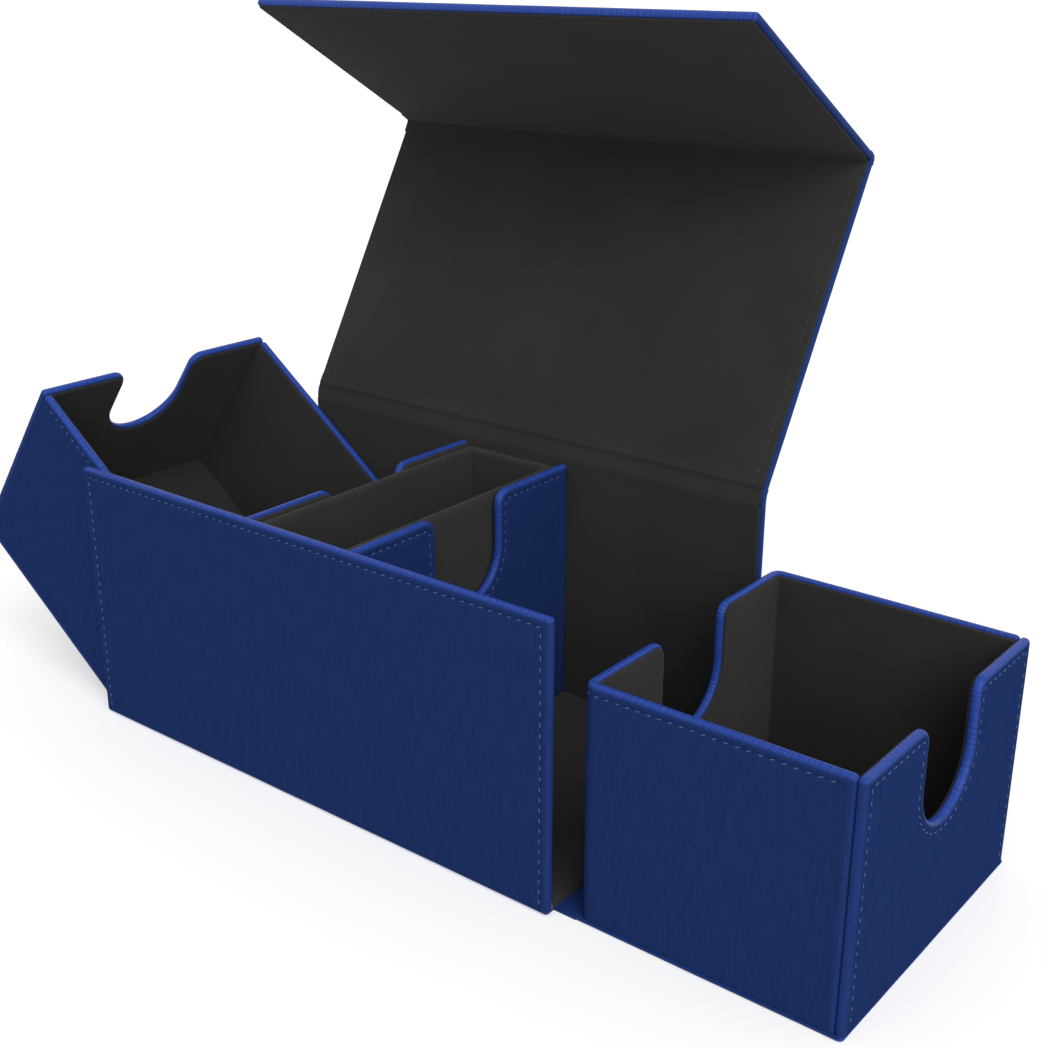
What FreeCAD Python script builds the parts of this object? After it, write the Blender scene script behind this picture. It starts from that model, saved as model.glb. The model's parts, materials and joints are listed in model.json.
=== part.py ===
import FreeCAD, Part
import math
import os

from FreeCAD import Vector

# A playing card box of leatherette over rigid board, in millimetres. The case is a floor with a
# front and a back wall and two fixed partitions, and it is open at both ends. A tray folds out of
# each end on a leatherette hinge at the floor. The lid folds on the back wall and a flap folds on
# the lid. X runs along the box, Y from front to back, Z up; the origin is under the middle.

# Layers of every wall, from the outside in
cover = 0.8
board = 2.0
lining = 0.8

# Case, standing shut
case_length = 200.0
case_depth = 113.0
case_height = 92.4

# Turned edges: the leatherette rolls over a board's edge and the lining stops short of it
roll = 1.4
panel_corner = 1.5
lining_margin = 1.0

# Thumb notches in the trays and partitions
notch_width = 31.0
notch_depth = 34.0
notch_lip = 5.0

# Accessory tray that lifts out from between the partitions
accessory_width = 40.0
accessory_corner = 2.0
accessory_side_gap = 0.4
accessory_end_gap = 0.6
accessory_seat_gap = 0.3
accessory_drop = 2.9
partition_drop = 1.4

# Fold-out trays: gaps to the case when a tray is folded in
tray_side_gap = 1.65
tray_rim_gap = 1.4
tray_top_gap = 1.8
tray_floor_gap = 4.0
tray_corner = 4.0
base_margin = 0.9
base_corner = 2.0
end_margin = 0.35
seam_gap = 1.8
hinge_gap = 0.1
left_tray_tilt = 36.8

# Lid and flap
lid_gap = 0.5
lid_side_margin = 0.2
lid_angle = 120.0
fold_radius = 1.2
fold_setback = 2.5
hinge_lining = 0.4
flap_gap = 0.6
flap_foot = 4.4

# Square magnets inside the boards
magnet_side = 10.0
magnet_thickness = 1.6
flap_magnet_spacing = 120.0
flap_magnet_rise = 12.0
tray_magnet_from_end = 11.8
tray_magnet_height = 37.0

# Worked out from the sizes above
skin = cover + board
wall = skin + lining
half_length = case_length / 2
half_depth = case_depth / 2
inside_half_depth = half_depth - wall
notch_half = notch_width / 2
roll_shoulder = roll * (1 - math.cos(math.pi / 4))
tiny = 0.001

partition_face = accessory_width / 2 + accessory_side_gap + wall
partition_top = case_height - partition_drop

tray_hinge_x = half_length - cover / 2
tray_hinge_z = cover / 2
tray_start = tray_hinge_x + wall - tray_hinge_z + tray_floor_gap
tray_end = tray_hinge_x + case_height - tray_top_gap - tray_hinge_z
tray_rim = tray_hinge_z + tray_hinge_x - partition_face - tray_rim_gap
tray_half_width = inside_half_depth - tray_side_gap
base_half_width = tray_half_width + base_margin

lid_inside = case_height + lid_gap
lid_outside = lid_inside + wall
lid_half_length = half_length - lid_side_margin
lid_hinge_y = half_depth - fold_radius
fold_z = lid_outside - fold_radius
flap_outside = -(half_depth + flap_gap + wall)
flap_fold_y = flap_outside + fold_radius
lid_back_edge = lid_hinge_y - fold_setback
lid_front_edge = flap_fold_y + fold_setback
flap_top = fold_z - fold_setback


def upright(a, b):
    """A point across the box: a along X and b up."""
    return Vector(a, 0, b)


def level(a, b):
    """A point on the floor: a along X and b along Y."""
    return Vector(a, b, 0)


def sideways(a, b):
    """A point seen from the end of the box: a along Y and b up."""
    return Vector(0, a, b)


def rounded_face(corners, point):
    """A face through corners (a, b, radius), each rounded by a tangent arc of its radius."""
    bends = []
    for index, (a, b, radius) in enumerate(corners):
        corner = point(a, b)
        back = (point(*corners[index - 1][:2]) - corner).normalize()
        onward = (point(*corners[(index + 1) % len(corners)][:2]) - corner).normalize()
        half_angle = back.getAngle(onward) / 2
        setback = radius / math.tan(half_angle)
        inward = (back + onward).normalize() * (radius / math.sin(half_angle) - radius)
        bends.append((corner + back * setback, corner + inward, corner + onward * setback, radius))
    edges = []
    for index, (start, middle, end, radius) in enumerate(bends):
        next_start = bends[(index + 1) % len(bends)][0]
        if radius > 0:
            edges.append(Part.Arc(start, middle, end).toShape())
        if end.distanceToPoint(next_start) > tiny:
            edges.append(Part.makeLine(end, next_start))
    return Part.Face(Part.Wire(edges))


def block(x_range, y_range, z_range):
    """A plain box between two values on each axis."""
    size = [top - low for low, top in (x_range, y_range, z_range)]
    return Part.makeBox(*size, Vector(x_range[0], y_range[0], z_range[0]))


def magnet(x, y, z):
    """A magnet on the +Y side of a face at y."""
    reach = magnet_side / 2
    return block((x - reach, x + reach), (y, y + magnet_thickness), (z - reach, z + reach))


def rolled(outline, depth):
    """A solid whose edges roll back from its outer face, in two bands that stand for the round.

    The outline is a function that gives the shape's face at an inset and at a depth."""
    levels = [(roll, 0), (roll_shoulder, roll_shoulder), (0, roll), (0, depth)]
    return Part.makeLoft([outline(*level).OuterWire for level in levels], True, True)


def notch_corners(rim, inset):
    """The corners of a thumb notch, from right to left, in a piece that lies inset from the edge."""
    half = notch_half + inset
    foot = rim - notch_depth - inset
    return [
        (half, rim - inset, notch_lip - inset),
        (half, foot, half),
        (-half, foot, half),
        (-half, rim - inset, notch_lip - inset),
    ]


def panel_face(width, height, inset, foot, top, notched, foot_radius=0, top_radius=0):
    """The outline of one layer of an upright panel whose edges lie at the given insets."""
    half = width / 2 - inset
    corners = [(-half, foot, foot_radius), (half, foot, foot_radius), (half, height - top, top_radius)]
    if notched:
        corners += notch_corners(height, top)
    corners.append((-half, height - top, top_radius))
    return rounded_face(corners, upright)


def panel(
    width,
    height,
    notched=False,
    round_foot=True,
    round_top=True,
    board_foot=cover,
    lining_foot=lining_margin,
    lining_top=lining_margin,
):
    """A covered board standing on z = 0 with its outer face on y = 0: cover, board and lining.

    The leatherette rolls over the edges, except at a foot or top that goes on into a fold."""

    def outline(inset, depth):
        foot = (inset, panel_corner - inset) if round_foot else (0, 0)
        top = (inset, panel_corner - inset) if round_top else (0, 0)
        face = panel_face(width, height, inset, foot[0], top[0], notched, foot[1], top[1])
        return face.translated(Vector(0, depth, 0))

    core = panel_face(width, height, cover, board_foot, cover, notched)
    core = core.extrude(Vector(0, board, 0)).translated(Vector(0, cover, 0))
    inside = panel_face(width, height, lining_margin, lining_foot, lining_top, notched)
    inside = inside.extrude(Vector(0, lining, 0)).translated(Vector(0, skin, 0))
    return {"cover": rolled(outline, skin).cut(core), "board": core, "lining": inside}


def placed(pieces, turn, position):
    """The pieces turned about Z, then moved so that their own origin is at the position."""
    spin = Vector(0, 0, 1)
    return {name: shape.rotated(Vector(), spin, turn).translated(position) for name, shape in pieces.items()}


def save(name, shape):
    """One STEP file for one piece."""
    shape.exportStep(f"parts/{name}.step")


def save_all(prefix, pieces):
    """One STEP file for each of a set of pieces."""
    for name, shape in pieces.items():
        save(f"{prefix}_{name}", shape)


def case_magnets(side):
    """The magnets at one wall's inner face that hold the two folded-in trays."""
    reach = tray_hinge_x - (tray_magnet_height - tray_hinge_z)
    height = tray_hinge_z + tray_end - tray_magnet_from_end - tray_hinge_x
    start = -half_depth + skin - magnet_thickness if side < 0 else half_depth - skin
    return [magnet(x, start, height) for x in (-reach, reach)]


def flap_magnets(start):
    """The pair of magnets near the flap's free edge, in the flap or in the wall behind it."""
    spread = flap_magnet_spacing / 2
    return [magnet(x, start, flap_foot + flap_magnet_rise) for x in (-spread, spread)]


def case_walls():
    """The front and back walls. The leatherette of the back wall goes on up into the lid."""
    front = placed(panel(case_length, case_height, lining_foot=skin), 0, Vector(0, -half_depth, 0))
    magnets = flap_magnets(-half_depth + cover) + case_magnets(-1)
    front["board"] = front["board"].cut(magnets)
    front["magnets"] = Part.makeCompound(magnets)
    save_all("front_wall", front)

    back = panel(case_length, case_height, round_top=False, lining_foot=skin, lining_top=0)
    back = placed(back, 180, Vector(0, half_depth, 0))
    magnets = case_magnets(1)
    back["board"] = back["board"].cut(magnets)
    back["magnets"] = Part.makeCompound(magnets)
    save_all("back_wall", back)


def case_floor():
    """The floor between the walls, which stops just short of the two tray hinges."""
    ends = half_length - cover - hinge_gap
    between_covers = half_depth - skin
    x_range = (-ends, ends)
    save("floor_cover", block(x_range, (-between_covers, between_covers), (0, cover)))
    save("floor_board", block(x_range, (-between_covers, between_covers), (cover, skin)))
    save("floor_lining", block(x_range, (-inside_half_depth, inside_half_depth), (skin, wall)))


def partitions():
    """The two notched walls across the case, leatherette towards the trays."""
    pieces = panel(2 * inside_half_depth, partition_top - wall, notched=True)
    for side, turn in (("left", -90), ("right", 90)):
        face = math.copysign(partition_face, turn)
        save_all(f"{side}_partition", placed(pieces, turn, Vector(face, 0, wall)))


def plan(inset):
    """The accessory tray's outline from above, at an inset from its outside."""
    x = accessory_width / 2 - inset
    y = inside_half_depth - accessory_end_gap - inset
    radius = max(accessory_corner - inset, 0)
    return rounded_face([(-x, -y, radius), (x, -y, radius), (x, y, radius), (-x, y, radius)], level)


def raised(face, low, top):
    """A flat face drawn at z = 0, made solid between two heights."""
    return face.extrude(Vector(0, 0, top - low)).translated(Vector(0, 0, low))


def accessory_tray():
    """The open box between the partitions: five boards, covered outside and lined inside."""
    foot = wall + accessory_seat_gap
    rim = case_height - accessory_drop

    def outline(inset, depth):
        return plan(inset).translated(Vector(0, 0, rim - depth))

    shell = rolled(outline, rim - foot).cut(raised(plan(skin), foot + skin, rim))
    side = accessory_width / 2 - cover
    end = inside_half_depth - accessory_end_gap - cover
    low = foot + cover
    high = rim - cover
    boards = [block((-side, side), (-end, end), (low, low + board))]
    for sign in (-1, 1):
        x_range = sorted((sign * side, sign * (side - board)))
        boards.append(block(x_range, (-end, end), (low + board, high)))
        y_range = sorted((sign * end, sign * (end - board)))
        boards.append(block((board - side, side - board), y_range, (low + board, high)))
    hollow = raised(plan(wall), foot + wall, rim)
    save("accessory_tray_cover", shell.cut(boards))
    save("accessory_tray_boards", Part.makeCompound(boards))
    save("accessory_tray_lining", raised(plan(skin), foot + skin, rim - lining_margin).cut(hollow))


def wrap_path(depth, end, end_radius=0):
    """The line of the tray's wall seen from above, at a depth into the wall: side, end, side."""
    x = tray_start + depth
    y = tray_half_width - depth
    radius = max(tray_corner - depth, 0)
    return [(end, -y, end_radius), (x, -y, radius), (x, y, radius), (end, y, end_radius)]


def wrap_face(depth, thickness, end, end_radius=0):
    """One layer of the tray's wall seen from above."""
    outside = wrap_path(depth, end, end_radius)
    inside = wrap_path(depth + thickness, end)
    return rounded_face(outside + inside[::-1], level)


def notch_face(inset, depth):
    """What a thumb notch takes away, at a depth into the tray's inner end."""
    far = notch_half + 2 * notch_lip
    above = tray_rim + notch_lip
    corners = [(far, above, 0), (far, tray_rim - inset, 0)]
    corners += notch_corners(tray_rim, inset)
    corners += [(-far, tray_rim - inset, 0), (-far, above, 0)]
    return rounded_face(corners, sideways).translated(Vector(tray_start + depth, 0, 0))


def wrap(depth, thickness, inset, end):
    """One notched layer of the tray's wall, standing on the base sheet."""
    layer = raised(wrap_face(depth, thickness, end), cover, tray_rim - inset)
    return layer.cut(notch_face(inset, 0).extrude(Vector(wall, 0, 0)))


def tray_wall():
    """The leatherette wrap round three flat boards, rolled at its rim and ends, and its lining."""
    end = tray_end - skin - seam_gap

    def outline(inset, depth):
        ring = wrap_face(inset, skin - inset, end - inset, panel_corner - inset)
        return ring.translated(Vector(0, 0, tray_rim - depth))

    skin_wrap = rolled(outline, tray_rim - cover).cut(rolled(notch_face, skin))
    board_wrap = wrap(cover, board, cover, end - cover)
    straight = tray_half_width - tray_corner
    heights = (cover, tray_rim)
    sides = block((tray_start + tray_corner, end), (-tray_half_width, tray_half_width), heights)
    inner_end = block((tray_start, tray_start + skin), (-straight, straight), heights)
    flat = [piece for part in (sides, inner_end) for piece in board_wrap.common(part).Solids]
    magnets = []
    for start in (-tray_half_width + cover, tray_half_width - cover - magnet_thickness):
        magnets.append(magnet(tray_end - tray_magnet_from_end, start, tray_magnet_height))
    return {
        "wall_cover": skin_wrap.cut(flat),
        "wall_boards": Part.makeCompound(flat).cut(magnets),
        "wall_lining": wrap(skin, lining, lining_margin, tray_end - wall),
        "magnets": Part.makeCompound(magnets),
    }


def tray_base():
    """The hinge strip, the base sheet that it runs into, and the lined board on the sheet."""
    hinge_end = tray_hinge_x - cover / 2
    round_end = cover / 2
    strip = [(hinge_end, 0, round_end), (tray_start, 0, 0), (tray_start, cover, 0), (hinge_end, cover, round_end)]
    sheet = [(tray_start, 0, 0), (tray_end, 0, 0.8 * cover), (tray_end, cover, 0), (tray_start, cover, 0)]
    across = Vector(0, 2 * base_half_width, 0)
    front = Vector(0, -base_half_width, 0)
    near = [(tray_start, -base_half_width, 0), (tray_end, -base_half_width, base_corner)]
    far = [(a, -b, radius) for a, b, radius in reversed(near)]
    trimmed = raised(rounded_face(near + far, level), 0, cover)
    x = tray_start + wall
    y = tray_half_width - wall
    radius = max(tray_corner - wall, 0)
    corners = [(x, -y, radius), (tray_end - wall, -y, 0), (tray_end - wall, y, 0), (x, y, radius)]
    inside = rounded_face(corners, level)
    return {
        "hinge_strip": rounded_face(strip, upright).translated(front).extrude(across),
        "base_cover": rounded_face(sheet, upright).translated(front).extrude(across).common(trimmed),
        "base_board": raised(inside, cover, skin),
        "base_lining": raised(inside, skin, wall),
    }


def tray_outer_end():
    """The notched panel at the tray's far end, whose leatherette runs on from the base sheet."""
    pieces = panel(
        2 * (tray_half_width - end_margin),
        tray_rim - cover,
        notched=True,
        round_foot=False,
        board_foot=0,
        lining_foot=0,
    )
    pieces = placed(pieces, 90, Vector(tray_end, 0, cover))
    return {f"end_{name}": shape for name, shape in pieces.items()}


def trays():
    """The right tray lying open, and the left one, the same tray turned round and tilted up."""
    pieces = tray_base() | tray_wall() | tray_outer_end()
    save_all("right_tray", pieces)
    left_hinge = Vector(-tray_hinge_x, 0, tray_hinge_z)
    for name, shape in placed(pieces, 180, Vector()).items():
        save(f"left_tray_{name}", shape.rotated(left_hinge, Vector(0, 1, 0), left_tray_tilt))


def opened(shape):
    """A piece of the lid, drawn shut, turned up to the open angle."""
    return shape.rotated(sideways(lid_hinge_y, fold_z), Vector(1, 0, 0), -lid_angle)


def lid_end(radius):
    """Where a layer of the open lid, at a radius from the hinge line, starts."""
    edge = Part.Vertex(sideways(lid_back_edge, fold_z + radius))
    point = opened(edge).Point
    return (point.y, point.z, 0)


def hinge_bend(radius):
    """Where the same layer, standing up from the back wall, bends towards the open lid."""
    return (lid_hinge_y + radius, fold_z - radius * math.tan(math.radians(lid_angle - 90) / 2), 0)


def lengthways(corners):
    """A strip as long as the lid, with the given section."""
    section = rounded_face(corners, sideways).translated(Vector(-lid_half_length, 0, 0))
    return section.extrude(Vector(2 * lid_half_length, 0, 0))


def lid_hinge():
    """The leatherette between the back wall and the lid, and the lining over the wall's top."""
    inner_radius = fold_radius - cover
    foot = [(half_depth - cover, case_height, 0), (half_depth, case_height, 0)]
    outside = [hinge_bend(fold_radius), lid_end(fold_radius)]
    inside = [lid_end(inner_radius), hinge_bend(inner_radius)]
    save("lid_hinge_strip", lengthways(foot + outside + inside))
    y_range = (inside_half_depth, half_depth - cover)
    z_range = (case_height, case_height + hinge_lining)
    save("lid_hinge_lining", block((-lid_half_length, lid_half_length), y_range, z_range))


def lid():
    """The lid panel, its fold and the front flap, all turned up with the lid."""
    depth = lid_back_edge - lid_front_edge
    flat = panel(2 * lid_half_length, depth, round_foot=False, round_top=False, board_foot=0, lining_foot=0)
    for name, shape in placed(flat, 180, Vector()).items():
        lying = shape.rotated(Vector(), Vector(1, 0, 0), 90)
        save(f"lid_{name}", opened(lying.translated(sideways(lid_back_edge, lid_outside))))

    inner = flap_outside + cover
    under = lid_outside - cover
    fold = [
        (lid_front_edge, lid_outside, 0),
        (flap_outside, lid_outside, fold_radius),
        (flap_outside, flap_top, 0),
        (inner, flap_top, 0),
        (inner, under, fold_radius - cover),
        (lid_front_edge, under, 0),
    ]
    save("flap_fold_strip", opened(lengthways(fold)))

    flap = panel(2 * lid_half_length, flap_top - flap_foot, round_top=False)
    flap = placed(flap, 0, Vector(0, flap_outside, flap_foot))
    magnets = flap_magnets(flap_outside + skin - magnet_thickness)
    flap["board"] = flap["board"].cut(magnets)
    flap["magnets"] = Part.makeCompound(magnets)
    save_all("flap", {name: opened(shape) for name, shape in flap.items()})


os.makedirs("parts", exist_ok=True)
case_walls()
case_floor()
partitions()
accessory_tray()
trays()
lid_hinge()
lid()
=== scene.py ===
import json
from math import copysign, cos, pi, radians, sin, tau

import bmesh
import bpy
from mathutils import Matrix, Vector, noise


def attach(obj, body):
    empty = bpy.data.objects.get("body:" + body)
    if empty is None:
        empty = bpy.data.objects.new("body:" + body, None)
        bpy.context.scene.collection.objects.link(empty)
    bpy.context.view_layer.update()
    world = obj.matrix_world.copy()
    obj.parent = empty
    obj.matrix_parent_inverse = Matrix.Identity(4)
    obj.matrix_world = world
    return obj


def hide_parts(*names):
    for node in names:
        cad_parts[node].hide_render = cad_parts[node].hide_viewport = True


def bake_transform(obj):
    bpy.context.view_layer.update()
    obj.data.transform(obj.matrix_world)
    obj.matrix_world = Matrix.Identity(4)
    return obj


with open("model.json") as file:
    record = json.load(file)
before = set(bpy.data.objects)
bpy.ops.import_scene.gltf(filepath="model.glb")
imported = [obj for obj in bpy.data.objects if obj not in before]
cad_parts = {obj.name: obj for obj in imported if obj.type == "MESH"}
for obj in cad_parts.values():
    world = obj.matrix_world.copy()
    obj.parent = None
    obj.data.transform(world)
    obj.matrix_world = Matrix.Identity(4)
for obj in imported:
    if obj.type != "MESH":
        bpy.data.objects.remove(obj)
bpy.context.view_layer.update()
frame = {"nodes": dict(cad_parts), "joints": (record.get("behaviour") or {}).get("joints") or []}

# The camera. It stands to the right of the open box and a little above it, as someone at a
# table would, and leans by a sixth of a degree. Its lens and sensor are a full-frame body's.
mm = 0.001
camera_turn = radians(38.428)
camera_rise = radians(20.708)
camera_lean = radians(0.169)
camera_distance = 579.41 * mm
camera_target = Vector((-19.14, 82.71, 50.0)) * mm

sight = Vector(
    (-sin(camera_turn) * cos(camera_rise), cos(camera_turn) * cos(camera_rise), -sin(camera_rise))
)
level_right = sight.cross(Vector((0, 0, 1))).normalized()
level_up = level_right.cross(sight)
lens_right = level_right * cos(camera_lean) + level_up * sin(camera_lean)
lens_up = level_up * cos(camera_lean) - level_right * sin(camera_lean)
camera = bpy.data.objects.new("camera", bpy.data.cameras.new("camera"))
bpy.context.scene.collection.objects.link(camera)
camera.matrix_world = Matrix((lens_right, lens_up, -sight)).transposed().to_4x4()
camera.matrix_world.translation = camera_target - sight * camera_distance
camera.data.sensor_width = 36
camera.data.lens = 51.70
camera.data.clip_start = 10 * mm
bpy.context.scene.camera = camera
bpy.context.scene.view_settings.view_transform = "Standard"


# The table and the light. The tabletop is pressed laminate with a matt white face, which is dull
# and faintly clouded, and it runs on into a white surround. A wide lamp far off to the right and
# above lights the box, and the surround fills the shadows.
def linear(colour):
    """The linear RGBA of an sRGB hex colour."""
    parts = [int(colour[i : i + 2], 16) / 255 for i in (1, 3, 5)]
    return (*[p / 12.92 if p <= 0.04045 else ((p + 0.055) / 1.055) ** 2.4 for p in parts], 1)


def add(tree, kind, settings=None, **links):
    """A node with its settings, and its sockets by name, or by _number, set or linked."""
    node = tree.nodes.new("ShaderNode" + kind)
    for name, value in (settings or {}).items():
        setattr(node, name, value)
    for name, value in links.items():
        socket = node.inputs[int(name[1:]) if name[0] == "_" else name.replace("_", " ")]
        if isinstance(value, bpy.types.NodeSocket):
            tree.links.new(value, socket)
        else:
            socket.default_value = value
    return node


def new_material(name):
    """A material with no nodes yet, and its node tree."""
    material = bpy.data.materials.new(name)
    material.use_nodes = True
    material.node_tree.nodes.clear()
    return material, material.node_tree


def seen_directly(tree):
    """1 for what is looked at, also through glass or in a shine, and 0 for light on its way."""
    rays = add(tree, "LightPath").outputs
    larger = {"operation": "MAXIMUM"}
    seen = add(tree, "Math", larger, _0=rays["Is Camera Ray"], _1=rays["Is Glossy Ray"]).outputs[0]
    return add(tree, "Math", larger, _0=seen, _1=rays["Is Transmission Ray"]).outputs[0]


white = (1, 1, 1, 1)
in_colour = {"data_type": "RGBA"}
table_size = 30000 * mm
table_cloud = 333 * mm
table_glow = 0.42

laminate, tree = new_material("matt white laminate")
clouds = add(tree, "TexNoise", Scale=table_size / table_cloud, Detail=3.0).outputs["Fac"]
pale = add(tree, "Mix", in_colour, Factor=clouds, _6=linear("#d6d6d6"), _7=linear("#dadada"))
glow = add(tree, "Math", {"operation": "MULTIPLY"}, _0=seen_directly(tree), _1=table_glow)
shader = add(
    tree,
    "BsdfPrincipled",
    Base_Color=pale.outputs[2],
    Roughness=0.9,
    Emission_Color=white,
    Emission_Strength=glow.outputs[0],
)
add(tree, "OutputMaterial", Surface=shader.outputs[0])

bpy.ops.mesh.primitive_plane_add(size=table_size, location=(0, 0, -0.2 * mm))
tabletop = bpy.context.object
tabletop.name = "tabletop"
tabletop.data.materials.append(laminate)

surround_fill = 0.58

surround = bpy.data.worlds.new("white surround")
bpy.context.scene.world = surround
surround.use_nodes = True
surround.node_tree.nodes.clear()
tree = surround.node_tree
strength = add(tree, "MapRange", Value=seen_directly(tree), To_Min=surround_fill, To_Max=1.0)
backdrop = add(tree, "Background", Color=white, Strength=strength.outputs[0])
add(tree, "OutputWorld", Surface=backdrop.outputs[0])

lamp_way = Vector((0.66, -0.44, 0.61))
lamp = bpy.data.objects.new("wide_lamp", bpy.data.lights.new("wide_lamp", "SUN"))
lamp.data.energy = 2.0
lamp.data.angle = radians(50)
lamp.rotation_euler = lamp_way.to_track_quat("Z", "Y").to_euler()
bpy.context.scene.collection.objects.link(lamp)

# Leatherette: navy polyurethane on a woven backing, embossed with a fine upright grain and then
# calendered dull, so that it has no sheen and is darker in the grain's furrows. Where it is rolled
# over an edge the grain opens out into small ribs across the roll, which shine. The rolls are also
# painted paler, as a painted highlight from above, with paler and darker painted glints along the
# ribs.
calender_patch = 36 * mm
grain_length = 9.0 * mm
grain_depth = 0.12 * mm
# The real grain and ribs are about 0.3 mm apart, and are drawn twice as coarse so that they show.
grain_spacing = 0.7 * mm
rib_spacing = 0.6 * mm


def leatherette(name, flat):
    """Navy leatherette whose grain runs along Z, of the flat-cut coordinates or of the object."""
    material, tree = new_material(name)
    if flat:
        place = add(tree, "Attribute", {"attribute_name": "flat"}).outputs["Vector"]
    else:
        place = add(tree, "TexCoord").outputs["Object"]
    roll_and_painted_highlight = add(tree, "Attribute", {"attribute_name": "roll_and_painted_highlight"}).outputs["Fac"]
    along = add(tree, "Attribute", {"attribute_name": "along"}).outputs["Fac"]
    along = add(tree, "Math", {"operation": "DIVIDE"}, _0=along, _1=rib_spacing).outputs[0]
    grain_scale = (1 / grain_spacing, 1 / grain_spacing, 1 / grain_length)
    drawn = add(tree, "Mapping", Vector=place, Scale=grain_scale).outputs[0]
    uneven = {"Detail": 4.0, "Roughness": 0.6, "Distortion": 0.3}
    furrows = add(tree, "TexNoise", Vector=drawn, Scale=1.0, **uneven).outputs["Fac"]
    ribs = add(tree, "TexNoise", {"noise_dimensions": "1D"}, W=along, Scale=1.0, Detail=2.0)
    patches = add(tree, "TexNoise", Vector=place, Scale=1 / calender_patch, Detail=2.0)
    tone = add(tree, "ValToRGB", Fac=furrows)
    tone.color_ramp.elements[0].position = 0.3
    tone.color_ramp.elements[0].color = linear("#1b2d5a")
    tone.color_ramp.elements[1].position = 0.65
    tone.color_ramp.elements[1].color = linear("#203465")
    ribs_and_painted_glints = add(tree, "MapRange", Value=ribs.outputs["Fac"], From_Min=0.35, From_Max=0.65)
    ribs_and_painted_glints = ribs_and_painted_glints.outputs[0]
    # The roll's paler tones are a painted highlight, and the ribs set paler and darker painted
    # glints in it.
    painted_highlight_tone = add(tree, "Mix", in_colour, Factor=ribs_and_painted_glints, _6=linear("#213b86"), _7=linear("#304da6"))
    colour = add(tree, "Mix", in_colour, Factor=roll_and_painted_highlight, _6=tone.outputs[0], _7=painted_highlight_tone.outputs[2])
    height = add(tree, "Mix", Factor=roll_and_painted_highlight, _2=furrows, _3=ribs_and_painted_glints)
    bump = add(tree, "Bump", Strength=0.4, Distance=grain_depth, Height=height.outputs[0])
    dull = add(tree, "MapRange", Value=patches.outputs["Fac"], To_Min=0.46, To_Max=0.56)
    rough = add(tree, "Mix", Factor=roll_and_painted_highlight, _2=dull.outputs[0], _3=0.3)
    shine = add(tree, "MapRange", Value=roll_and_painted_highlight, To_Min=0.0, To_Max=0.12)
    shader = add(
        tree,
        "BsdfPrincipled",
        Base_Color=colour.outputs[2],
        Roughness=rough.outputs[0],
        IOR=1.5,
        Specular_IOR_Level=shine.outputs[0],
        Normal=bump.outputs[0],
    )
    add(tree, "OutputMaterial", Surface=shader.outputs[0])
    return material


panel_leatherette = leatherette("navy leatherette on panels", True)
sheet_leatherette = leatherette("navy leatherette on flat sheets", False)

# Suedette: a short black nap bonded to a thin foam. It is matt, catches light at a glancing
# angle, and shows soft patches where the nap has been brushed one way or the other.
brushed_patch = 45 * mm
nap_depth = 0.1 * mm
# The nap's real tufts are finer than 0.1 mm, and are drawn coarser so that they show.
nap_size = 0.3 * mm

suedette, tree = new_material("black suedette")
place = add(tree, "TexCoord").outputs["Object"]
nap = add(tree, "TexNoise", Vector=place, Scale=1 / nap_size, Detail=2.0)
brushed = add(tree, "TexNoise", Vector=place, Scale=1 / brushed_patch, Detail=4.0, Roughness=0.6)
tone = add(tree, "ValToRGB", Fac=brushed.outputs["Fac"])
tone.color_ramp.elements[0].position = 0.35
tone.color_ramp.elements[0].color = linear("#2c2c2c")
tone.color_ramp.elements[1].position = 0.7
tone.color_ramp.elements[1].color = linear("#323231")
bump = add(tree, "Bump", Strength=0.5, Distance=nap_depth, Height=nap.outputs["Fac"])
shader = add(
    tree,
    "BsdfPrincipled",
    Base_Color=tone.outputs[0],
    Roughness=0.95,
    Specular_IOR_Level=0.1,
    Sheen_Weight=0.08,
    Sheen_Roughness=0.5,
    Normal=bump.outputs[0],
)
add(tree, "OutputMaterial", Surface=shader.outputs[0])

# Greyboard and magnets, which the leatherette and the lining hide: board pressed from grey pulp,
# dull and flecked, and nickel-plated squares let into it, with a soft warm shine.
pulp_depth = 0.05 * mm
# Real flecks are about 0.3 mm long and the plating is finer still. Both are drawn coarser.
pulp_fleck = 0.8 * mm
plating_grain = 0.5 * mm

greyboard, tree = new_material("pressed greyboard")
place = add(tree, "TexCoord").outputs["Object"]
pulp = add(tree, "TexNoise", Vector=place, Scale=1 / pulp_fleck, Detail=4.0)
tone = add(tree, "ValToRGB", Fac=pulp.outputs["Fac"])
tone.color_ramp.elements[0].color = linear("#8a8378")
tone.color_ramp.elements[1].color = linear("#a49c8f")
bump = add(tree, "Bump", Strength=0.3, Distance=pulp_depth, Height=pulp.outputs["Fac"]).outputs[0]
shader = add(tree, "BsdfPrincipled", Base_Color=tone.outputs[0], Roughness=0.9, Normal=bump)
add(tree, "OutputMaterial", Surface=shader.outputs[0])

nickel, tree = new_material("nickel plating")
place = add(tree, "TexCoord").outputs["Object"]
plating = add(tree, "TexNoise", Vector=place, Scale=1 / plating_grain, Detail=2.0)
dull = add(tree, "MapRange", Value=plating.outputs["Fac"], To_Min=0.2, To_Max=0.3).outputs[0]
shader = add(tree, "BsdfPrincipled", Base_Color=linear("#b9b6ae"), Metallic=1.0, Roughness=dull)
add(tree, "OutputMaterial", Surface=shader.outputs[0])

# The solids that show as they are take the material that their names end in.
made_of = {
    "magnets": nickel,
    "board": greyboard,
    "boards": greyboard,
    "lining": suedette,
    "cover": sheet_leatherette,
}
for name, node in frame["nodes"].items():
    kind = name.split("_")[-1]
    if kind in made_of:
        node.data.materials.clear()
        node.data.materials.append(made_of[kind])

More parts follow.
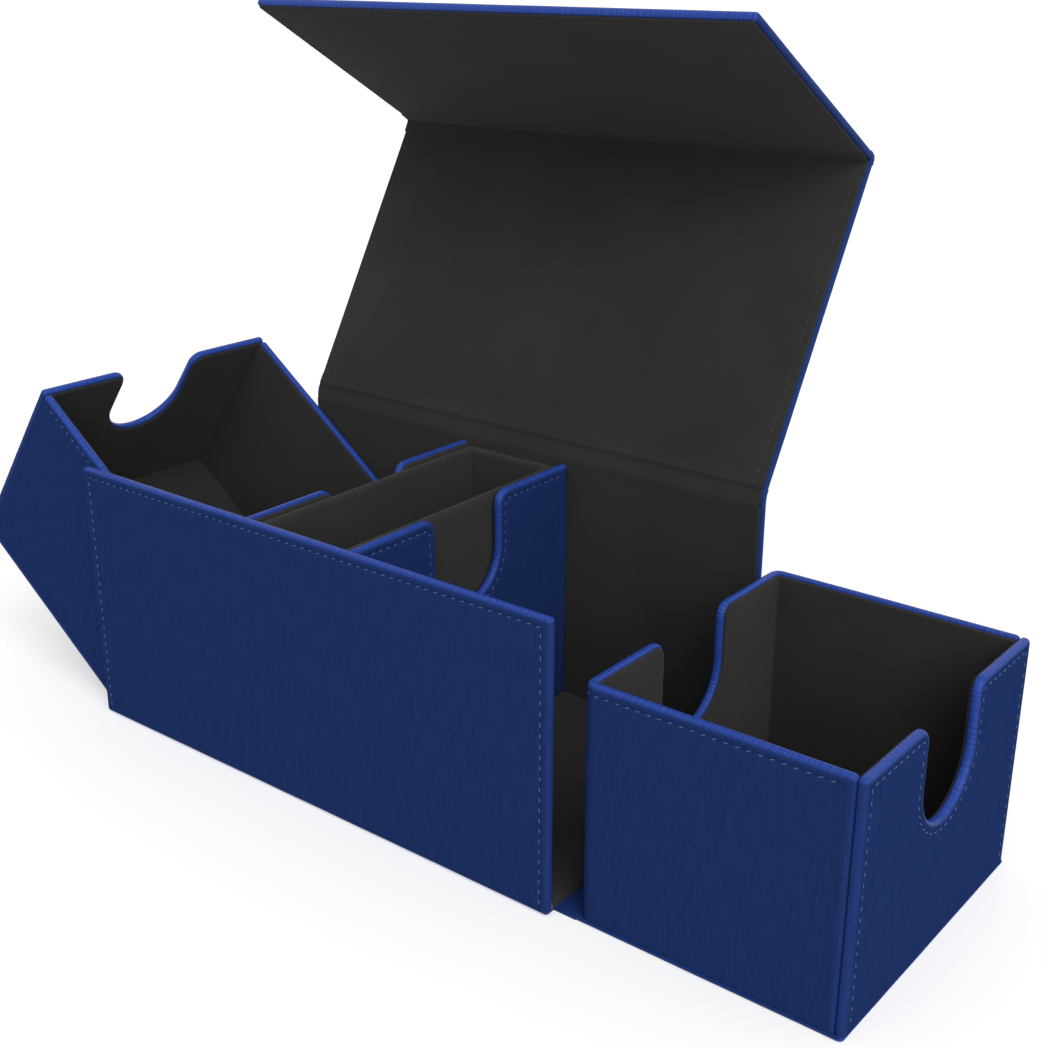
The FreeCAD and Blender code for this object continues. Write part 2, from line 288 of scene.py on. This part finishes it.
# Front and back walls of the case. Each is a board in a skin of leatherette, which is glued over
# the outer face, rolled round the edges and hemmed under the lining, then sewn near its edges.
# The lining is cut to stop just short of the hem's roll, and its cut edge is pressed down.
roll = 1.45 * mm
hem_roll = 1.0 * mm
hem = 2.6 * mm
hem_lift = 0.06 * mm
panel_corner = 1.5 * mm
least_corner = 0.3 * mm
notch_half = 15.5 * mm
notch_depth = 34.0 * mm
notch_lip = 5.0 * mm
lining_margin = 1.0 * mm
lining_edge = 0.5 * mm
arc_steps = 12
run_step = 5.0 * mm
# The seam pulls a furrow into the skin, which puffs out between the furrow and the edge. The
# edges waver a little, as those of hand-glued work do.
stitch_inset = 3.1 * mm
furrow = 0.25 * mm
furrow_half = 0.6 * mm
puff = 0.1 * mm
waver = 0.06 * mm
waver_length = 17 * mm
# The rolls are painted paler as a highlight from a lamp above: fully over the rims and round the
# notches, which face up, and less over a panel's sides. The same share gives the rolls their ribs
# and shine. It is full up to one inset, and fades from there over a short run.
painted_highlight_on_sides = 0.22
painted_highlight_inset = 0.2 * roll
painted_highlight_run = 0.7 * roll


def roll_and_painted_highlight_share(inset):
    """How much of the roll's ribs, shine and painted highlight a point takes: 1 at an edge, 0 past
    the roll.
    """
    return 1 - min(1, max(0, inset - painted_highlight_inset) / painted_highlight_run)


def quarter(inset, depth, across, along, steps):
    """Points (inset, depth) of a quarter round from a face to an edge, given its signed radii."""
    turns = [pi / 2 * step / steps for step in range(steps + 1)]
    return [(inset + across * (1 - sin(turn)), depth + along * (1 - cos(turn))) for turn in turns]


def skin_profile(thickness):
    """How a skin runs from its hem over the edge and past the stitches: (inset, depth, dip)."""
    back = thickness + hem_lift
    points = [(hem, back), *quarter(0, back, hem_roll, -hem_roll, steps=4)]
    points += quarter(0, 0, roll, roll, steps=5)[::-1]
    profile = [(inset, depth, 0) for inset, depth in points]
    brink = stitch_inset - furrow_half
    profile += [((roll + brink) / 2, -puff, 0), (brink, -puff / 2, 0)]
    profile += [(stitch_inset + furrow_half * share / 3, 0, 1) for share in (-1, 1)]
    return profile + [(stitch_inset + furrow_half, 0, 0), (stitch_inset + 2 * furrow_half, 0, 0)]


def lining_profile(thickness):
    """A lining's edge, from the glue line up over its pressed corner: (inset, depth, dip)."""
    edge = quarter(0, thickness, lining_edge, -lining_edge, steps=4)[::-1]
    return [(0, 0, 0)] + [(inset, depth, 0) for inset, depth in edge]


def panel_outline(width, height, inset, notched, margin):
    """The corners (x, z, radius) of a loop at an inset from a layer's edge, itself at a margin."""
    half = width / 2 - inset
    corner = max(panel_corner - margin - inset, least_corner)
    corners = [(-half, inset, corner), (half, inset, corner), (half, height - inset, corner)]
    if notched:
        reach = notch_half + margin + inset
        lip = max(notch_lip - margin - inset, least_corner)
        bottom = height - notch_depth - inset
        corners += [(reach, height - inset, lip), (reach, bottom, reach)]
        corners += [(-reach, bottom, reach), (-reach, height - inset, lip)]
    return corners + [(-half, height - inset, corner)]


def walk_round(corners, runs=None):
    """Points round an outline with rounded right-angled corners, and how many each side takes."""
    bends = []
    for index, (x, z, radius) in enumerate(corners):
        here = Vector((x, z))
        back = (Vector(corners[index - 1][:2]) - here).normalized()
        onward = (Vector(corners[(index + 1) % len(corners)][:2]) - here).normalized()
        centre = here + (back + onward) * radius
        turns = [pi / 2 * step / arc_steps for step in range(arc_steps + 1)]
        bends.append([centre - (onward * cos(turn) + back * sin(turn)) * radius for turn in turns])
    if runs is None:
        gaps = [(bends[(i + 1) % len(bends)][0] - bend[-1]).length for i, bend in enumerate(bends)]
        runs = [max(1, round(gap / run_step)) for gap in gaps]
    points = []
    for index, bend in enumerate(bends):
        points += bend
        onward = bends[(index + 1) % len(bends)][0]
        points += [bend[-1].lerp(onward, step / runs[index]) for step in range(1, runs[index])]
    return points, runs


def corner_indices(runs):
    """Where the middle of each corner comes among walk_round's points, over two rounds."""
    indices = [arc_steps // 2]
    for run in runs + runs:
        indices.append(indices[-1] + arc_steps + run)
    return indices


def reaches(points):
    """How far along a line each of its points comes."""
    lengths = [0.0]
    for here, onward in zip(points, points[1:]):
        lengths.append(lengths[-1] + (onward - here).length)
    return lengths


def bridge(shape, rings):
    """Faces between each ring of points and the next, and one over each end."""
    for hither, yonder in zip(rings, rings[1:]):
        for i in range(len(hither)):
            j = (i + 1) % len(hither)
            shape.faces.new((hither[i], hither[j], yonder[j], yonder[i]))
    shape.faces.new(rings[0][::-1])
    shape.faces.new(rings[-1])


def finish_piece(name, body, shape, put, material):
    """Makes a piece of a flat-drawn mesh: keeps its flat coordinates, then puts it in place."""
    bmesh.ops.recalc_face_normals(shape, faces=shape.faces)
    mesh = bpy.data.meshes.new(name)
    shape.to_mesh(mesh)
    shape.free()
    flat = mesh.attributes.new("flat", "FLOAT_VECTOR", "POINT")
    for vertex, kept in zip(mesh.vertices, flat.data):
        kept.vector = vertex.co
        vertex.co = put(vertex.co)
    mesh.shade_smooth()
    mesh.set_sharp_from_angle(angle=radians(50))
    mesh.materials.append(material)
    piece = bpy.data.objects.new(name, mesh)
    bpy.context.scene.collection.objects.link(piece)
    if body:
        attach(piece, body)
    return piece


def layer(
    name, body, size, profile, put, material, notched=False, margin=0, sewn=(), square=(), cuts=()
):
    """A skin or lining drawn flat as (x, depth, z), with its edge profile all round, then placed.

    Sewn stretches run between corner numbers. Square names the sides, foot or head, that stay
    unrolled: the layer is drawn longer there and cut off. Cuts are where it can bend."""
    width, height = size
    spare = 3 * mm
    foot = -spare if "foot" in square else 0
    head = height + spare if "head" in square else height
    outline = (width, head - foot)
    edge, runs = walk_round(panel_outline(*outline, 0, notched, margin))
    corners = corner_indices(runs)
    count = sum(runs) + len(runs) * arc_steps
    stitched = set()
    for first, last in sewn:
        stitched |= {index % count for index in range(corners[first], corners[last] + 1)}
    shape = bmesh.new()
    roll_and_painted_highlight = shape.verts.layers.float.new("roll_and_painted_highlight")
    along = shape.verts.layers.float.new("along")
    reach = reaches(edge)
    painted_highlight_shares = []
    # A side's roll takes a smaller share of the painted highlight, as it faces away from the lamp
    # above.
    for index, point in enumerate(edge):
        level = abs((edge[(index + 1) % count] - edge[index - 1]).normalized().x)
        on_side = abs(point.x) >= width / 2 - panel_corner
        painted_highlight_shares.append(painted_highlight_on_sides + (1 - painted_highlight_on_sides) * level if on_side else 1)
    rings = []
    for inset, depth, dip in profile:
        ring = []
        loop = walk_round(panel_outline(*outline, inset, notched, margin), runs)[0]
        for index, (x, z) in enumerate(loop):
            sway = waver * noise.noise(Vector((x, z, depth)) / waver_length)
            lie = depth + (dip * furrow if index in stitched else 0)
            vertex = shape.verts.new((x + sway, lie, z + foot + sway))
            vertex[roll_and_painted_highlight] = roll_and_painted_highlight_share(inset) * painted_highlight_shares[index]
            vertex[along] = reach[index]
            ring.append(vertex)
        rings.append(ring)
    bridge(shape, rings)
    ends = {"foot": ((0, 0, 0), (0, 0, -1)), "head": ((0, 0, height), (0, 0, 1))}
    planes = [(*ends[side], True) for side in ends if side in square]
    planes += [((x, 0, 0), (1, 0, 0), False) for x in cuts]
    for spot, normal, off in planes:
        bmesh.ops.bisect_plane(
            shape,
            geom=shape.verts[:] + shape.edges[:] + shape.faces[:],
            plane_co=spot,
            plane_no=normal,
            clear_outer=off,
        )
        if off:
            bmesh.ops.holes_fill(shape, edges=[rim for rim in shape.edges if rim.is_boundary])
    return finish_piece(name, body, shape, put, material)


def box_in(node, stand):
    """A CAD node's lowest and highest corners in the frame of the matrix that it stands by."""
    back = stand.inverted()
    points = [back @ vertex.co for vertex in frame["nodes"][node].data.vertices]
    return Vector(map(min, zip(*points))), Vector(map(max, zip(*points)))


# Thread: bonded polyester in lockstitch, paler than the leatherette. Each stitch lies a little
# aslant in the furrow that it pulls, stands out by part of its radius, and dives into a needle
# hole at both ends. Behind, on the suedette, the bobbin thread is black.
stitch_pitch = 3.3 * mm
stitch_length = 1.5 * mm
stitch_slant = radians(9)
stitch_stand = 0.6
stitch_dive = 1.5
stitch_stop = 1.3 * roll
stitch_rings = (-1, -0.8, -0.3, 0.3, 0.8, 1)
thread_radius = 0.16 * mm
hole_share = 0.35
thread_sides = 8
# Real plies are as wide as the thread's radius, and are drawn coarser so that both shades show.
ply = 0.4 * mm


def polyester(name, dark, light):
    """Bonded polyester thread whose twisted plies are two close shades."""
    material, tree = new_material(name)
    place = add(tree, "TexCoord").outputs["Object"]
    plies = add(tree, "TexNoise", Vector=place, Scale=1 / ply, Detail=1.0)
    tone = add(tree, "ValToRGB", Fac=plies.outputs["Fac"])
    tone.color_ramp.elements[0].color = linear(dark)
    tone.color_ramp.elements[1].color = linear(light)
    shader = add(tree, "BsdfPrincipled", Base_Color=tone.outputs[0], Roughness=0.55)
    add(tree, "OutputMaterial", Surface=shader.outputs[0])
    return material


pale_thread = polyester("pale blue polyester thread", "#3b4b84", "#5868a0")
black_thread = polyester("black polyester thread", "#2c2b29", "#35342f")


def stitch_row(name, body, paths, put, face, out=-1, material=pale_thread):
    """Stitches along flat paths of (x, z) points, on a face at a depth that looks out that way."""
    shape = bmesh.new()
    for path in paths:
        reach = reaches(path)
        room = reach[-1] - stitch_length
        count = max(1, round(room / stitch_pitch))
        span = 0
        for number in range(count + 1):
            middle = stitch_length / 2 + room * number / count
            while span < len(reach) - 2 and reach[span + 1] < middle:
                span += 1
            share = (middle - reach[span]) / (reach[span + 1] - reach[span])
            centre = path[span].lerp(path[span + 1], share)
            along = (path[span + 1] - path[span]).normalized()
            along.rotate(Matrix.Rotation(stitch_slant, 2))
            across = Vector((-along.y, along.x))
            rings = []
            for u in stitch_rings:
                width = thread_radius * (hole_share if abs(u) == 1 else 1)
                lift = face + out * thread_radius * (stitch_stand - stitch_dive * u**4)
                spot = centre + along * (u * stitch_length / 2)
                ring = []
                for side in range(thread_sides):
                    turn = tau * side / thread_sides
                    point = spot + across * (width * cos(turn))
                    ring.append(shape.verts.new((point.x, lift + width * sin(turn), point.y)))
                rings.append(ring)
            bridge(shape, rings)
    return finish_piece(name, body, shape, put, material)


def sewn_line(size, notched, first, last, edge_to_edge=False, inset=stitch_inset):
    """The sewn line between two corners, by number, or on to the panel's own edges."""
    points, runs = walk_round(panel_outline(*size, inset, notched, 0))
    corners = corner_indices(runs)
    line = (points + points)[corners[first] : corners[last] + 1]
    if edge_to_edge:
        ends = [Vector((side * (size[0] / 2 - stitch_stop), line[0].y)) for side in (1, -1)]
        line = [ends[0], *line, ends[1]]
    return line


def panel(node, body, stand, notched=False, sewn=None, edge_to_edge=False, square=()):
    """A panel's skin and lining, which stand for its CAD cover and lining, and its stitches.

    The seam runs between two corners, by number, or from there on to the panel's own edges."""
    low, high = box_in(node + "_cover", stand)
    middle = (low.x + high.x) / 2
    size = (high.x - low.x, high.z - low.z)

    def put(point):
        return stand @ Vector((middle + point.x, low.y + point.y, low.z + point.z))

    profile = skin_profile(high.y - low.y)
    skin = layer(
        node + "_skin",
        body,
        size,
        profile,
        put,
        panel_leatherette,
        notched=notched,
        sewn=[sewn] if sewn else [],
        square=square,
    )
    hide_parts(node + "_cover")
    if sewn:
        line = sewn_line(size, notched, *sewn, edge_to_edge)
        stitch_row(node + "_stitches", body, [line], put, furrow)

    low_in, high_in = box_in(node + "_lining", stand)

    def put_in(point):
        return stand @ Vector((middle + point.x, low_in.y + point.y, low_in.z + point.z))

    size_in = (high_in.x - low_in.x, high_in.z - low_in.z)
    profile = lining_profile(high_in.y - low_in.y)
    lining = layer(
        node + "_suedette", body, size_in, profile, put_in, suedette, notched, lining_margin
    )
    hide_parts(node + "_lining")
    return size, put, high_in.y - low.y


def turned(degrees, axis="Z"):
    """A turn about an axis of the box, as a matrix."""
    return Matrix.Rotation(radians(degrees), 4, axis)


# The front wall is sewn on three sides. The back wall's skin runs on into the lid's hinge, so
# it is sewn up its two ends only.
panel("front_wall", "case", turned(0), sewn=(1, 4))
back_size, back_put, _ = panel("back_wall", "case", turned(180), square=("head",))
for first, last in ((1, 2), (3, 4)):
    line = sewn_line(back_size, False, first, last)
    stitch_row(f"back_wall_stitches_{first}", "case", [line], back_put, 0)

# Partitions: two notched panels glued across the case, their leatherette to the trays and their
# suedette to the accessory tray. They are sewn along the rim and round the thumb notch.
panel("left_partition", "case", turned(-90), notched=True, sewn=(2, 7), edge_to_edge=True)
panel("right_partition", "case", turned(90), notched=True, sewn=(2, 7), edge_to_edge=True)

# Floor lining: one sheet of suedette over the floor's board, turned down over the board's two
# ends, where the case is open.
floor_edge = [(0, -0.2), (0, 0.2)]
floor_foot = 1.1 * mm
floor_bend = 0.6 * mm
floor_bend_steps = 4


def swept(name, line, edge, ends, material, body=None):
    """A strip along a line of points, as wide as from one of the ends to the other.

    Its edge is (inset, depth) in millimetres, from the strip's outer side round to its inner."""
    across = (ends[1] - ends[0]).normalized()
    shape = bmesh.new()
    roll_and_painted_highlight = shape.verts.layers.float.new("roll_and_painted_highlight")
    along = shape.verts.layers.float.new("along")
    rings = []
    for index, spot in enumerate(line):
        onward = line[min(index + 1, len(line) - 1)] - line[max(index - 1, 0)]
        inward = onward.cross(across).normalized()
        ring = []
        for end, way, section in ((ends[0], across, edge), (ends[1], -across, edge[::-1])):
            for inset, depth in section:
                point = spot + end + way * (inset * mm) + inward * (depth * mm)
                ring.append(shape.verts.new(point))
                # The turned edges take a side's share of the painted highlight.
                ring[-1][roll_and_painted_highlight] = roll_and_painted_highlight_share(inset * mm) * painted_highlight_on_sides
                ring[-1][along] = (spot - line[0]).length
        rings.append(ring)
    bridge(shape, rings)
    return finish_piece(name, body, shape, Vector.copy, material)


low, high = box_in("floor_lining", turned(0))
floor_reach = high.x + 0.05 * mm
floor_top = high.z - 0.2 * mm
half_line = [Vector((floor_reach, 0, floor_foot))]
for step in range(floor_bend_steps + 1):
    turn = pi / 2 * step / floor_bend_steps
    x = floor_reach - floor_bend * (1 - cos(turn))
    half_line.append(Vector((x, 0, floor_top - floor_bend * (1 - sin(turn)))))
floor_line = half_line + [Vector((-point.x, 0, point.z)) for point in half_line[::-1]]
ends = [Vector((0, low.y, 0)), Vector((0, high.y, 0))]
floor_skin = swept("floor_suedette", floor_line, floor_edge, ends, suedette, "case")
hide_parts("floor_lining")

# Fold-out trays. One skin wraps each tray's front side, inner end and back side over flat boards,
# bent round at both corners; the outer end is a sewn panel of its own on the same base sheet. The
# leatherette runs on from under the case's floor to the base sheet, and creases there.
wrap_corner = 4.0 * mm
wrap_steps = 8
wrap_depth = 2.8 * mm
wrap_overlap = 1.7 * mm
suedette_thickness = 0.8 * mm
crease_overlap = 0.1 * mm
crease_pull = 2.4 * mm
# The edges of the base sheet and of the creased strip, as (inset, depth) in millimetres.
base_edge = [(2.2, 0.8), (0.4, 0.8), (0.1, 0.6), (0, 0.4), (0.1, 0.15), (0.4, 0), (2.2, 0)]
crease_edge = [(0, -0.4), (0, 0.4)]
joints = {joint["name"]: joint for joint in frame["joints"]}


def hinged(joint, degrees):
    """A turn of so many degrees about a joint's own pin."""
    pin = Matrix.Translation(joint["pos_m"])
    return pin @ Matrix.Rotation(radians(degrees), 4, Vector(joint["axis"])) @ pin.inverted()


def bent_line(start, start_way, end, end_way, pull, steps=14):
    """Points on a Bezier curve that leaves the start and reaches the end along the given ways."""
    second = start + start_way.normalized() * pull
    third = end - end_way.normalized() * pull
    points = []
    for step in range(steps + 1):
        t = step / steps
        s = 1 - t
        middle = second * (3 * s * s * t) + third * (3 * s * t * t)
        points.append(start * s**3 + middle + end * t**3)
    return points


left_joint = joints["left_tray_hinge"]
tray_stands = {
    "right_tray": turned(0),
    "left_tray": hinged(left_joint, -left_joint["range_deg"][1]) @ turned(180),
}
for tray, stand in tray_stands.items():
    low, high = box_in(f"{tray}_wall_cover", stand)
    _, high_in = box_in(f"{tray}_wall_lining", stand)
    half = (high.y - low.y) / 2
    end_half = half - wrap_corner
    bend = pi / 2 * wrap_corner

    def wrapped(point):
        """A point of the flat wrap, bent round the tray's two corners."""
        along = abs(point.x)
        if along <= end_half:
            x, y = low.x + point.y, along
        elif along <= end_half + bend:
            turn = (along - end_half) / wrap_corner
            x = low.x + wrap_corner - (wrap_corner - point.y) * cos(turn)
            y = end_half + (wrap_corner - point.y) * sin(turn)
        else:
            x, y = low.x + wrap_corner + along - end_half - bend, half - point.y
        return stand @ Vector((x, copysign(y, -point.x), low.z + point.z))

    size = (2 * (end_half + bend + high.x - low.x - wrap_corner + wrap_overlap), high.z - low.z)
    size_in = (2 * (end_half + bend + high_in.x - low.x - wrap_corner), high_in.z - low.z)
    bend_lines = [end_half + bend * step / wrap_steps for step in range(wrap_steps + 1)]
    cuts = [side * x for side in (-1, 1) for x in bend_lines]
    wrap = layer(
        f"{tray}_wall_skin",
        tray,
        size,
        skin_profile(wrap_depth),
        wrapped,
        panel_leatherette,
        notched=True,
        sewn=[(2, 7)],
        square=("foot",),
        cuts=cuts,
    )
    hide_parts(f"{tray}_wall_cover")
    line = sewn_line(size, True, 2, 7, edge_to_edge=True)
    stitch_row(f"{tray}_wall_stitches", tray, [line], wrapped, furrow)
    wrap_lining = lining_profile(suedette_thickness)
    lining = layer(
        f"{tray}_wall_suedette",
        tray,
        size_in,
        [(inset, depth + wrap_depth, dip) for inset, depth, dip in wrap_lining],
        wrapped,
        suedette,
        notched=True,
        margin=lining_margin,
        cuts=cuts,
    )
    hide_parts(f"{tray}_wall_lining")
    panel(f"{tray}_end", tray, stand @ turned(90), notched=True, sewn=(1, 8), square=("foot",))

    low, high = box_in(f"{tray}_base_cover", stand)

    def laid(point):
        """A point of the base sheet, drawn from the hinge outwards, as it lies on the table."""
        return stand @ Vector((low.x + point.z, -point.x, high.z - point.y))

    size = (high.y - low.y, high.x - low.x)
    profile = [(inset * mm, depth * mm, 0) for inset, depth in base_edge]
    sheet = layer(
        f"{tray}_base_skin", tray, size, profile, laid, panel_leatherette, square=("foot",)
    )
    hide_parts(f"{tray}_base_cover")

    low, high = box_in(f"{tray}_hinge_strip", stand)
    side = 1 if tray == "right_tray" else -1
    level = (low.z + high.z) / 2
    start = Vector((side * (low.x - crease_overlap), 0, level))
    end = stand @ Vector((high.x, 0, level))
    way = (stand.to_3x3() @ Vector((1, 0, 0))).normalized()
    line = bent_line(start, Vector((side, 0, 0)), end, way, crease_pull)
    ends = [Vector((0, side * low.y, 0)), Vector((0, side * high.y, 0))]
    strip = swept(f"{tray}_hinge_skin", line, crease_edge, ends, sheet_leatherette)
    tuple(line[0])
    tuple(line[-1])
    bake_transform(strip)
    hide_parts(f"{tray}_hinge_strip")

# Lid and flap: two panels in one run of leatherette with the back wall. They are sewn along their
# free edges, and the stitches show in black on the suedette side as well.
lid_stitch_inset = 3.8 * mm

lid_joint = joints["lid_hinge"]
opened = hinged(lid_joint, -lid_joint["range_deg"][0])
lid_stand = opened @ turned(90, "X") @ turned(180)
for node, body, stand, square, stretches in (
    ("lid", "lid", lid_stand, ("foot", "head"), [(1, 2), (3, 4)]),
    ("flap", "lid_flap", opened, ("head",), [(3, 6)]),
):
    size, put, inner_face = panel(node, body, stand, square=square)
    lines = [sewn_line(size, False, *ends, inset=lid_stitch_inset) for ends in stretches]
    stitch_row(f"{node}_stitches", body, lines, put, 0)
    stitch_row(f"{node}_bobbin_stitches", body, lines, put, inner_face, 1, black_thread)

# Lid strips: leatherette that runs on unbacked from the back wall to the lid and from the lid to
# the flap, with its edges turned in, and suedette on its inner side. Each strip creases at its
# joint and follows the boards on both sides of it.
hinge_pull = 2.2 * mm
fold_pull = 2.6 * mm
cove_margin = 0.45 * mm
# Where the leatherette strips start and end, as (y, z) in millimetres with the lid shut.
hinge_on_wall, hinge_on_lid = (56.1, 92.4), (52.8, 96.1)
fold_on_lid, fold_on_flap = (-57.0, 96.1), (-60.3, 92.8)
# The edges of leatherette turned in and of suedette cut plain, as (inset, depth) in millimetres.
turned_edge = [(2, -0.4), (0.9, -0.4), (0.45, -0.28), (0.12, 0.06), (0, 0.5), (0, 1.6)]
turned_edge += [(0.1, 1.95), (0.4, 2.25), (1.2, 2.3), (1.2, 1.8), (0.8, 1.5), (0.8, 0.5), (2, 0.4)]
cut_edge = [(0.3, -0.2), (0.09, -0.14), (0, 0), (0.09, 0.14), (0.3, 0.2)]


def eased_line(points, steps=6):
    """A smooth line that passes through each of the points."""
    line = []
    for index in range(len(points) - 1):
        a, b = points[max(index - 1, 0)], points[index]
        c, d = points[index + 1], points[min(index + 2, len(points) - 1)]
        for step in range(steps):
            t = step / steps
            bow = a * 2 - b * 5 + c * 4 - d
            twist = b * 3 - a - c * 3 + d
            line.append(b + ((c - a) * t + bow * t**2 + twist * t**3) / 2)
    return line + [points[-1]]


def across_lid(points, stand=Matrix()):
    """Points (y, z) in mm, halfway along the lid, moved by a matrix."""
    return [stand @ Vector((0, y * mm, z * mm)) for y, z in points]


def lid_ends(margin=0):
    """Both ends of a strip along the lid, at a margin from the lid's own ends."""
    low, high = box_in("lid_cover", turned(0))
    return [Vector((end * (1 - margin / high.x), 0, 0)) for end in (high.x, low.x)]


start, end = across_lid([hinge_on_wall]) + across_lid([hinge_on_lid], opened)
forward = opened.to_3x3() @ Vector((0, -1, 0))
line = bent_line(start, Vector((0, 0, 1)), end, forward, hinge_pull)
hinge = swept("lid_hinge_skin", line, turned_edge, lid_ends(), sheet_leatherette)
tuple(line[0])
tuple(line[-1])
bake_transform(hinge)
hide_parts("lid_hinge_strip")

# The suedette's way up the back wall and on to the lid, as (y, z) in millimetres with the lid up.
up_wall = [(53.35, 86.0), (53.15, 89.0), (53.05, 91.4), (53.2, 92.9), (53.7, 94.3), (54.3, 95.8)]
up_lid = [(54.75, 97.2), (54.7, 98.1), (54.75, 98.9), (55.15, 99.6), (56.4, 101.7)]
lining_line = eased_line(across_lid(up_wall + up_lid))
lining_ends = lid_ends(lining_margin)
hinge_lining = swept("lid_hinge_suedette", lining_line, cut_edge, lining_ends, suedette)
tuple(line[0])
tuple(line[-1])
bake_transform(hinge_lining)
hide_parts("lid_hinge_lining")

start, end = across_lid([fold_on_lid, fold_on_flap], opened)
down = opened.to_3x3() @ Vector((0, 0, -1))
line = bent_line(start, forward, end, down, fold_pull)
fold = swept("flap_fold_skin", line, turned_edge, lid_ends(), sheet_leatherette)
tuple(line[0])
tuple(line[-1])
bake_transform(fold)
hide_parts("flap_fold_strip")

# The suedette's way from the lid into the fold and down the flap, with the lid shut.
cove = [(-52.5, 93.05), (-55.3, 92.93), (-56.65, 92.77), (-56.98, 92.45)]
cove += [(-57.12, 91.1), (-57.25, 88.3)]
cove_line = eased_line(across_lid(cove, opened))
fold_lining = swept("flap_fold_suedette", cove_line, cut_edge, lid_ends(cove_margin), suedette)
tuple(line[0])
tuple(line[-1])
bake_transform(fold_lining)

# Accessory tray: five boards in one suedette skin, outside and inside, with a soft round rim. It
# has no leatherette, stands loose between the partitions, and lifts out.
tray_low, tray_high = box_in("accessory_tray_cover", turned(0))
inside_low, _ = box_in("accessory_tray_lining", turned(0))
tray_wall = 3.6 * mm
tray_rim_roll = tray_wall / 2
tray_rim_steps = 8
tray_rim_band = 12 * mm
tray_corner = 2.0 * mm
tray_floor = inside_low.z + suedette_thickness
tray_ease = 0.5 * mm
# The foot's round, as (inset, rise) in millimetres. The walls go up from it, over the rim, and
# down inside to the floor.
tray_foot = [(2.0, 0), (0.6, 0), (0.15, 0.3), (0, 1.0)]
tray_profile = [(inset * mm, tray_low.z + rise * mm) for inset, rise in tray_foot]
tray_profile.append((0, tray_high.z - tray_rim_band))
for step in range(tray_rim_steps + 1):
    turn = pi * step / tray_rim_steps
    inset = tray_rim_roll * (1 - cos(turn))
    tray_profile.append((inset, tray_high.z - tray_rim_roll * (1 - sin(turn))))
tray_profile += [(tray_wall, tray_floor + tray_ease), (tray_wall + tray_ease, tray_floor)]

tray_shape = bmesh.new()
rings = []
tray_half = (tray_high - tray_low) / 2
tray_runs = None
for inset, height in tray_profile:
    x, y = tray_half.x - inset, tray_half.y - inset
    radius = max(tray_corner - inset, least_corner)
    corners = [(-x, -y, radius), (x, -y, radius), (x, y, radius), (-x, y, radius)]
    points, tray_runs = walk_round(corners, tray_runs)
    rings.append([tray_shape.verts.new((px, py, height)) for px, py in points])
bridge(tray_shape, rings)
accessory_skin = finish_piece(
    "accessory_tray_suedette", "accessory_tray", tray_shape, Vector.copy, suedette
)
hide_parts("accessory_tray_cover", "accessory_tray_lining")
